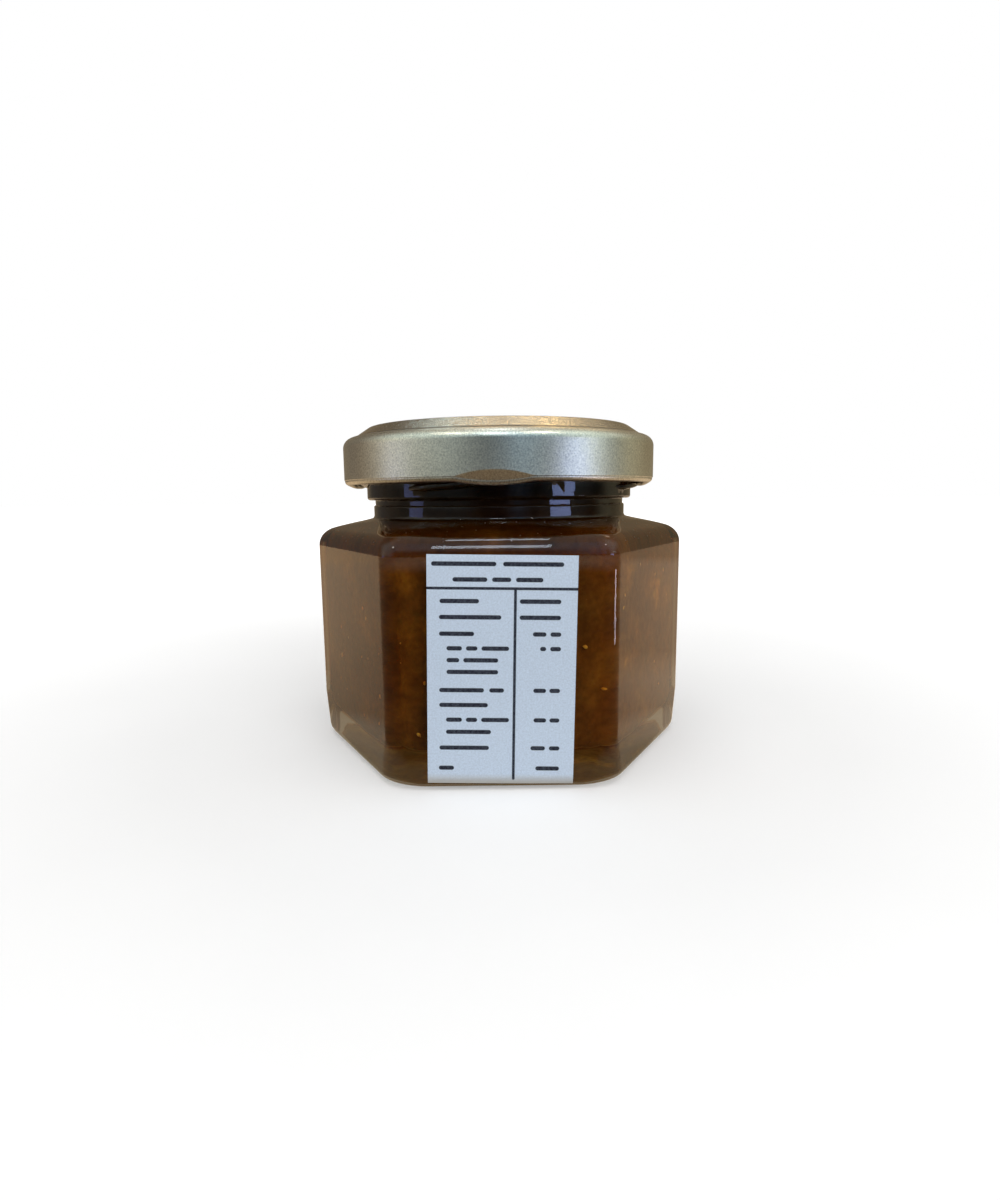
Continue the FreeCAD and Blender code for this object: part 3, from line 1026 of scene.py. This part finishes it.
def pulp_finish():
    """Soft fig flesh, dark brown with paler amber lumps; painted shade darkens it in the neck."""
    finish = Finish("fig flesh")
    colour = finish.ramp(finish.noise(130), [
        (0.25, (0.13, 0.058, 0.013)), (0.5, (0.2, 0.098, 0.022)),
        (0.65, (0.3, 0.16, 0.03)), (0.78, (0.55, 0.31, 0.04))])
    fibres, height = finish.grain(900, 0.75, 1.15)
    # painted shade: the flesh darkens towards the neck, where the lid keeps the light off
    painted_neck_shade = finish.spread(finish.level(), (shoulder_edge_height - 5) * MM,
                             (shoulder_edge_height + 1) * MM, 1.0, 0.13)
    finish.paint(finish.tone(finish.tone(colour, fibres), painted_neck_shade))
    finish.set(Roughness=0.6, Specular_IOR_Level=0.05, Subsurface_Weight=0.3,
               Subsurface_Scale=0.002)
    finish.bump(height, 0.4, 0.15)
    return finish.material


def seed_finish():
    """Fig seeds, from straw to orange."""
    finish = Finish("fig seed")
    colour = finish.ramp(finish.noise(220, detail=1.0), [
        (0.35, (0.62, 0.24, 0.03)), (0.55, (0.72, 0.4, 0.07)), (0.7, (0.7, 0.5, 0.18))])
    fleck, height = finish.grain(4200, 0.8, 1.1)
    finish.paint(finish.tone(colour, fleck))
    finish.set(Roughness=0.45, Specular_IOR_Level=0.15, Subsurface_Weight=0.3,
               Subsurface_Scale=0.0008)
    finish.bump(height, 0.3, 0.03)
    return finish.material


def lid_finish():
    """Pale gold lacquer over tinplate, satin, with an orange-peel grain, dust and painted crease
    shade.
    """
    finish = Finish("pale gold lacquer")
    cloud = finish.noise(90)
    tint = finish.between(cloud, (0.73, 0.7, 0.6), (0.79, 0.77, 0.67))
    fleck, height = finish.grain(4200, 0.7, 1.22)
    flat = finish.add("ShaderNodeVectorMath", operation="MULTIPLY")
    flat.inputs[1].default_value = (1.0, 1.0, 0.0)
    finish.link(finish.place, flat.inputs[0])
    # painted shade: a dark band along the crease, where shade falls
    aside = finish.calc("ABSOLUTE", finish.calc(
        "SUBTRACT", finish.length(flat.outputs["Vector"]), (crease_radius - 0.05) * MM))
    crease_shade = finish.spread(aside, 0.08 * MM, 0.28 * MM, 0.75, 0.0)
    lacquer_with_crease_shade = finish.mix(crease_shade, finish.tone(tint, fleck), (0.1, 0.075, 0.045))
    specks = finish.calc("MULTIPLY", finish.dust(1500, 0.1, 0.3), 0.5)
    finish.paint(finish.mix(specks, lacquer_with_crease_shade, (0.9, 0.88, 0.84)))
    upper = finish.spread(finish.level(), (ridge_top - 1.9) * MM, (ridge_top - 1.3) * MM)
    satin = finish.spread(cloud, 0.3, 0.7, 0.3, 0.35)
    finish.link(finish.calc("SUBTRACT", satin, finish.calc("MULTIPLY", upper, 0.12)),
                finish.shader.inputs["Roughness"])
    finish.set(Metallic=1.0)
    finish.bump(finish.calc("MULTIPLY", height, finish.calc("ADD", upper, 0.5)), 0.5, 0.03)
    return finish.material


def seal_finish():
    """Sealing compound, off-white and slightly rough."""
    finish = Finish("sealing compound")
    speck, height = finish.grain(1500, 0.85, 1.05)
    finish.paint(finish.tone((0.7, 0.68, 0.62), speck))
    finish.set(Roughness=0.6)
    finish.bump(height, 0.2, 0.03)
    return finish.material


def label_finish():
    """Smooth bluish white label paper with its printed rules and plain dashes."""
    finish = Finish("label paper")
    middle = (label_low + label_high) / 2
    mapping = finish.add("ShaderNodeMapping", vector_type="TEXTURE")
    mapping.inputs["Location"].default_value = (middle.x, 0.0, middle.z)
    mapping.inputs["Rotation"].default_value = (0.0, math.radians(label_turn), 0.0)
    mapping.inputs["Scale"].default_value = (MM, MM, MM)
    finish.link(finish.place, mapping.inputs["Vector"])
    split = finish.add("ShaderNodeSeparateXYZ")
    finish.link(mapping.outputs["Vector"], split.inputs["Vector"])
    across, up = split.outputs["X"], split.outputs["Z"]
    strokes = [(across, up, -LABEL_HALF - 1, LABEL_HALF + 1, HEAD_RULE, RULE_THICKNESS),
               (up, across, COLUMN_RULE_FOOT, HEAD_RULE, COLUMN_RULE, RULE_THICKNESS)]
    for level, spans in PRINT_ROWS:
        strokes += [(across, up, start, stop, level, DASH_THICKNESS) for start, stop in spans]
    ink = 0.0
    for along, aside, start, stop, level, thickness in strokes:
        dash = finish.effect("printed dash", Across=along, Up=aside, Start=start, End=stop,
                             Level=level, Thickness=thickness)
        ink = finish.calc("MAXIMUM", ink, dash["Ink"])
    fleck, height = finish.grain(3600, 0.88, 1.07)
    worn = finish.grain(2600, 0.93, 1.0)[0]
    # painted light: the paper is made up to 8 % paler towards its foot
    pale = finish.spread(up, LABEL_FOOT, 2.0, 1.08, 1.0)
    paper = finish.tone(finish.tone((0.49, 0.575, 0.69), fleck), pale)
    # the paper turns darker and browner towards its bottom edge
    foot = finish.spread(up, LABEL_FOOT + 0.3, LABEL_FOOT + 1.7, 0.9, 0.0)
    darker_at_foot = finish.mix(foot, paper, (0.42, 0.4, 0.36))
    finish.paint(finish.mix(finish.calc("MULTIPLY", ink, worn), darker_at_foot, (0.01, 0.011, 0.022)))
    finish.set(Roughness=0.6, Specular_IOR_Level=0.15)
    finish.bump(height, 0.25, 0.02)
    return finish.material


def dress(piece, material):
    """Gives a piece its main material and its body."""
    piece.data.materials.clear()
    piece.data.materials.append(material)
    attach(piece, "root")


def wet_inside(jar, material):
    """Gives the inside of the glass its own finish, up to where the jam reaches."""
    jar.data.materials.append(material)
    middle = Vector((0, 0, jam_level / 2)) * MM
    for face in jar.data.polygons:
        place = face.center
        out = math.hypot(place.x, place.y) / MM
        is_outside_neck = place.z / MM > neck_base and out > bore_radius + bore_margin
        if (face.normal.dot(place - middle) < 0 and not is_outside_neck
                and place.z / MM < jam_level):
            face.material_index = 1


# --- studio ---

def shown_background(tree):
    """A value that is 1 for what the camera, mirrors and glass see."""
    rays = tree.nodes.new("ShaderNodeLightPath").outputs
    direct = sum_node(tree, "MAXIMUM", rays["Is Camera Ray"], rays["Is Glossy Ray"])
    return sum_node(tree, "MAXIMUM", direct, rays["Is Transmission Ray"])


def set_world():
    """A white background over an even, plain fill light."""
    world = bpy.data.worlds.new("studio")
    scene.world = world
    world.use_nodes = True
    tree = world.node_tree
    fill = tree.nodes["Background"]
    white = tree.nodes.new("ShaderNodeBackground")
    fill.inputs["Strength"].default_value = FILL
    for light in (fill, white):
        light.inputs["Color"].default_value = (1.0, 1.0, 1.0, 1.0)
    mixer = tree.nodes.new("ShaderNodeMixShader")
    tree.links.new(shown_background(tree), mixer.inputs["Fac"])
    tree.links.new(fill.outputs["Background"], mixer.inputs[1])
    tree.links.new(white.outputs["Background"], mixer.inputs[2])
    tree.links.new(mixer.outputs["Shader"], tree.nodes["World Output"].inputs["Surface"])


def add_form(name, primitive, **values):
    """A simple form for the studio."""
    bpy.ops.object.select_all(action="DESELECT")
    primitive(**values)
    form = bpy.context.object
    form.name = name
    return form


def set_floor():
    """A wide pale floor that keeps the jar's soft shadow and fades to white far off."""
    floor = add_form("floor", bpy.ops.mesh.primitive_plane_add, size=FLOOR_SIZE,
                     location=ORIGIN)
    finish = Finish("pale floor")
    finish.set(Roughness=0.8, Specular_IOR_Level=0.0, Emission_Color=(1.0, 1.0, 1.0, 1.0))
    finish.paint(finish.between(finish.noise(30, detail=2.0), (0.8, 0.8, 0.8),
                                (0.82, 0.82, 0.82)))
    lift = finish.spread(finish.length(finish.place), *FLOOR_FADE, *FLOOR_LIFT)
    shown = finish.calc("MULTIPLY", lift, shown_background(finish.tree))
    finish.link(shown, finish.shader.inputs["Emission Strength"])
    floor.data.materials.append(finish.material)
    floor.visible_shadow = False
    floor.visible_glossy = False
    floor.visible_transmission = False


def round_tones(finish, stops):
    """A tone by direction round the jar, which ends behind it as it began."""
    turned = finish.add("ShaderNodeMapping")
    turned.inputs["Rotation"].default_value = (0.0, 0.0, math.pi / 2)
    finish.link(finish.place, turned.inputs["Vector"])
    around = finish.add("ShaderNodeTexGradient", gradient_type="RADIAL")
    finish.link(turned.outputs["Vector"], around.inputs["Vector"])
    closed = stops + [(180, stops[0][1])]
    shares = [((degrees + 180) / 360, colour) for degrees, colour in closed]
    return finish.ramp(around.outputs["Fac"], shares)


def hang_cloth(card, finish, colour):
    """A studio cloth as bright as its tone says, seen in mirrors and plain through glass."""
    path = finish.add("ShaderNodeLightPath")
    colour = finish.mix(path.outputs["Is Transmission Ray"], colour, SEEN_THROUGH)
    finish.link(colour, finish.shader.inputs["Emission Color"])
    finish.set(Base_Color=(0.0, 0.0, 0.0, 1.0), Roughness=1.0, Specular_IOR_Level=0.0,
               Emission_Strength=1.0)
    card.data.materials.append(finish.material)
    card.visible_camera = False
    card.visible_diffuse = False
    card.visible_shadow = False


def set_tent():
    """A round tent about the jar, which only glass and metal mirror."""
    tent = add_form("tent", bpy.ops.mesh.primitive_uv_sphere_add, segments=TENT_SIDES,
                    ring_count=TENT_SIDES // 2, radius=TENT_RADIUS)
    bpy.ops.object.mode_set(mode="EDIT")
    bpy.ops.mesh.select_all(action="SELECT")
    bpy.ops.mesh.bisect(plane_co=(0, 0, MAT_LEVEL), plane_no=AXIS, clear_inner=True)
    bpy.ops.object.mode_set(mode="OBJECT")
    finish = Finish("tent cloth")
    height = finish.calc("DIVIDE", finish.level(), TENT_RADIUS)
    side = round_tones(finish, SIDE_TONES)
    dim = finish.tone(side, round_tones(finish, HORIZON_TONES))
    low = finish.mix(finish.spread(height, *HORIZON_ZONE), dim, side)
    wall = finish.mix(finish.spread(height, *UPPER_ZONE), low, round_tones(finish, UPPER_TONES))
    hang_cloth(tent, finish, finish.mix(finish.spread(height, *TOP_ZONE), wall, TOP_TONE))


def set_mat():
    """The mat under the jar, in zones from its foot out to the tent, with the jar's shadow painted
    under and in front of it.
    """
    mat = add_form("mat", bpy.ops.mesh.primitive_circle_add, vertices=TENT_SIDES,
                   radius=TENT_RADIUS, fill_type="NGON")
    mat.data.transform(Matrix.Translation((0, 0, MAT_LEVEL)))
    finish = Finish("mat cloth")
    distance = finish.length(finish.place)
    tone = PAINTED_UNDER_SHADOW
    for zone, tones in MAT_ZONES:
        tone = finish.mix(finish.spread(distance, *zone), tone, round_tones(finish, tones))
    edge = finish.tone(round_tones(finish, SIDE_TONES), round_tones(finish, HORIZON_TONES))
    hang_cloth(mat, finish, finish.mix(finish.spread(distance, *EDGE_ZONE), tone, edge))


def add_card(name, degrees, rise, distance, width, height, colour):
    """A bright card in the tent, seen only in glass and metal."""
    card = add_form(name, bpy.ops.mesh.primitive_plane_add, size=1.0)
    turn = math.radians(degrees)
    lift = math.radians(rise)
    out = Vector((math.sin(turn) * math.cos(lift), -math.cos(turn) * math.cos(lift),
                  math.sin(lift)))
    card.data.transform(Matrix.Diagonal((width, height, 1, 1)))
    card.data.transform((-out).to_track_quat("Z", "Y").to_matrix().to_4x4())
    card.data.transform(Matrix.Translation(out * distance + Vector((0, 0, CARD_LEVEL))))
    finish = Finish(name + " cloth")
    weave = finish.noise(60, detail=1.0)
    dimmer = tuple(value * 0.9 for value in colour)
    hang_cloth(card, finish, finish.between(weave, dimmer, colour))


def add_lamp(name, place, target, width, height, colour, radiance):
    """A soft rectangular lamp; its power follows from its brightness and size."""
    light = bpy.data.lights.new(name, "AREA")
    light.shape = "RECTANGLE"
    light.size = width
    light.size_y = height
    light.color = colour
    light.energy = radiance * math.pi * width * height
    lamp = bpy.data.objects.new(name, light)
    scene.collection.objects.link(lamp)
    lamp.location = place
    aim = Vector(target) - Vector(place)
    lamp.rotation_euler = aim.to_track_quat("-Z", "Y").to_euler()
    lamp.visible_glossy = False
    lamp.visible_transmission = False


def set_camera():
    """The camera, close in front of the label and tipped down a little."""
    camera = bpy.data.cameras.new("camera")
    camera.sensor_fit = "VERTICAL"
    camera.sensor_height = 36.0
    camera.lens = LENS
    camera.clip_start = 0.005
    viewer = bpy.data.objects.new("camera", camera)
    scene.collection.objects.link(viewer)
    tip = Matrix.Rotation(math.radians(90 - CAMERA_TIP), 4, "X")
    roll = Matrix.Rotation(math.radians(CAMERA_ROLL), 4, "Z")
    viewer.matrix_world = Matrix.Translation(CAMERA_PLACE) @ tip @ roll
    scene.camera = viewer


effects = {"fine grain": make_grain_group(), "stray dust": make_dust_group(),
           "printed dash": make_dash_group()}

set_camera()
glass = model_glass()
add_threads(glass)
jelly = model_jelly()
pulp = model_pulp()
seeds = scatter_seeds()
lid = model_lid()
liner = model_liner()

keep_faces_flat(glass)
keep_faces_flat(lid)
dress(glass, glass_finish())
wet_inside(glass, wetted_finish())
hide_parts("glass_jar")
dress(jelly, jelly_finish())
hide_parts("jam")
dress(pulp, pulp_finish())
dress(seeds, seed_finish())
dress(lid, lid_finish())
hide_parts("lid")
dress(liner, seal_finish())
paper = label_finish()
for spot in nodes["label"].material_slots:
    spot.material = paper

scene.view_settings.view_transform = "Standard"
set_world()
set_floor()
for lamp in LAMPS:
    add_lamp(*lamp)
set_tent()
set_mat()
for card in CARDS:
    add_card(*card)
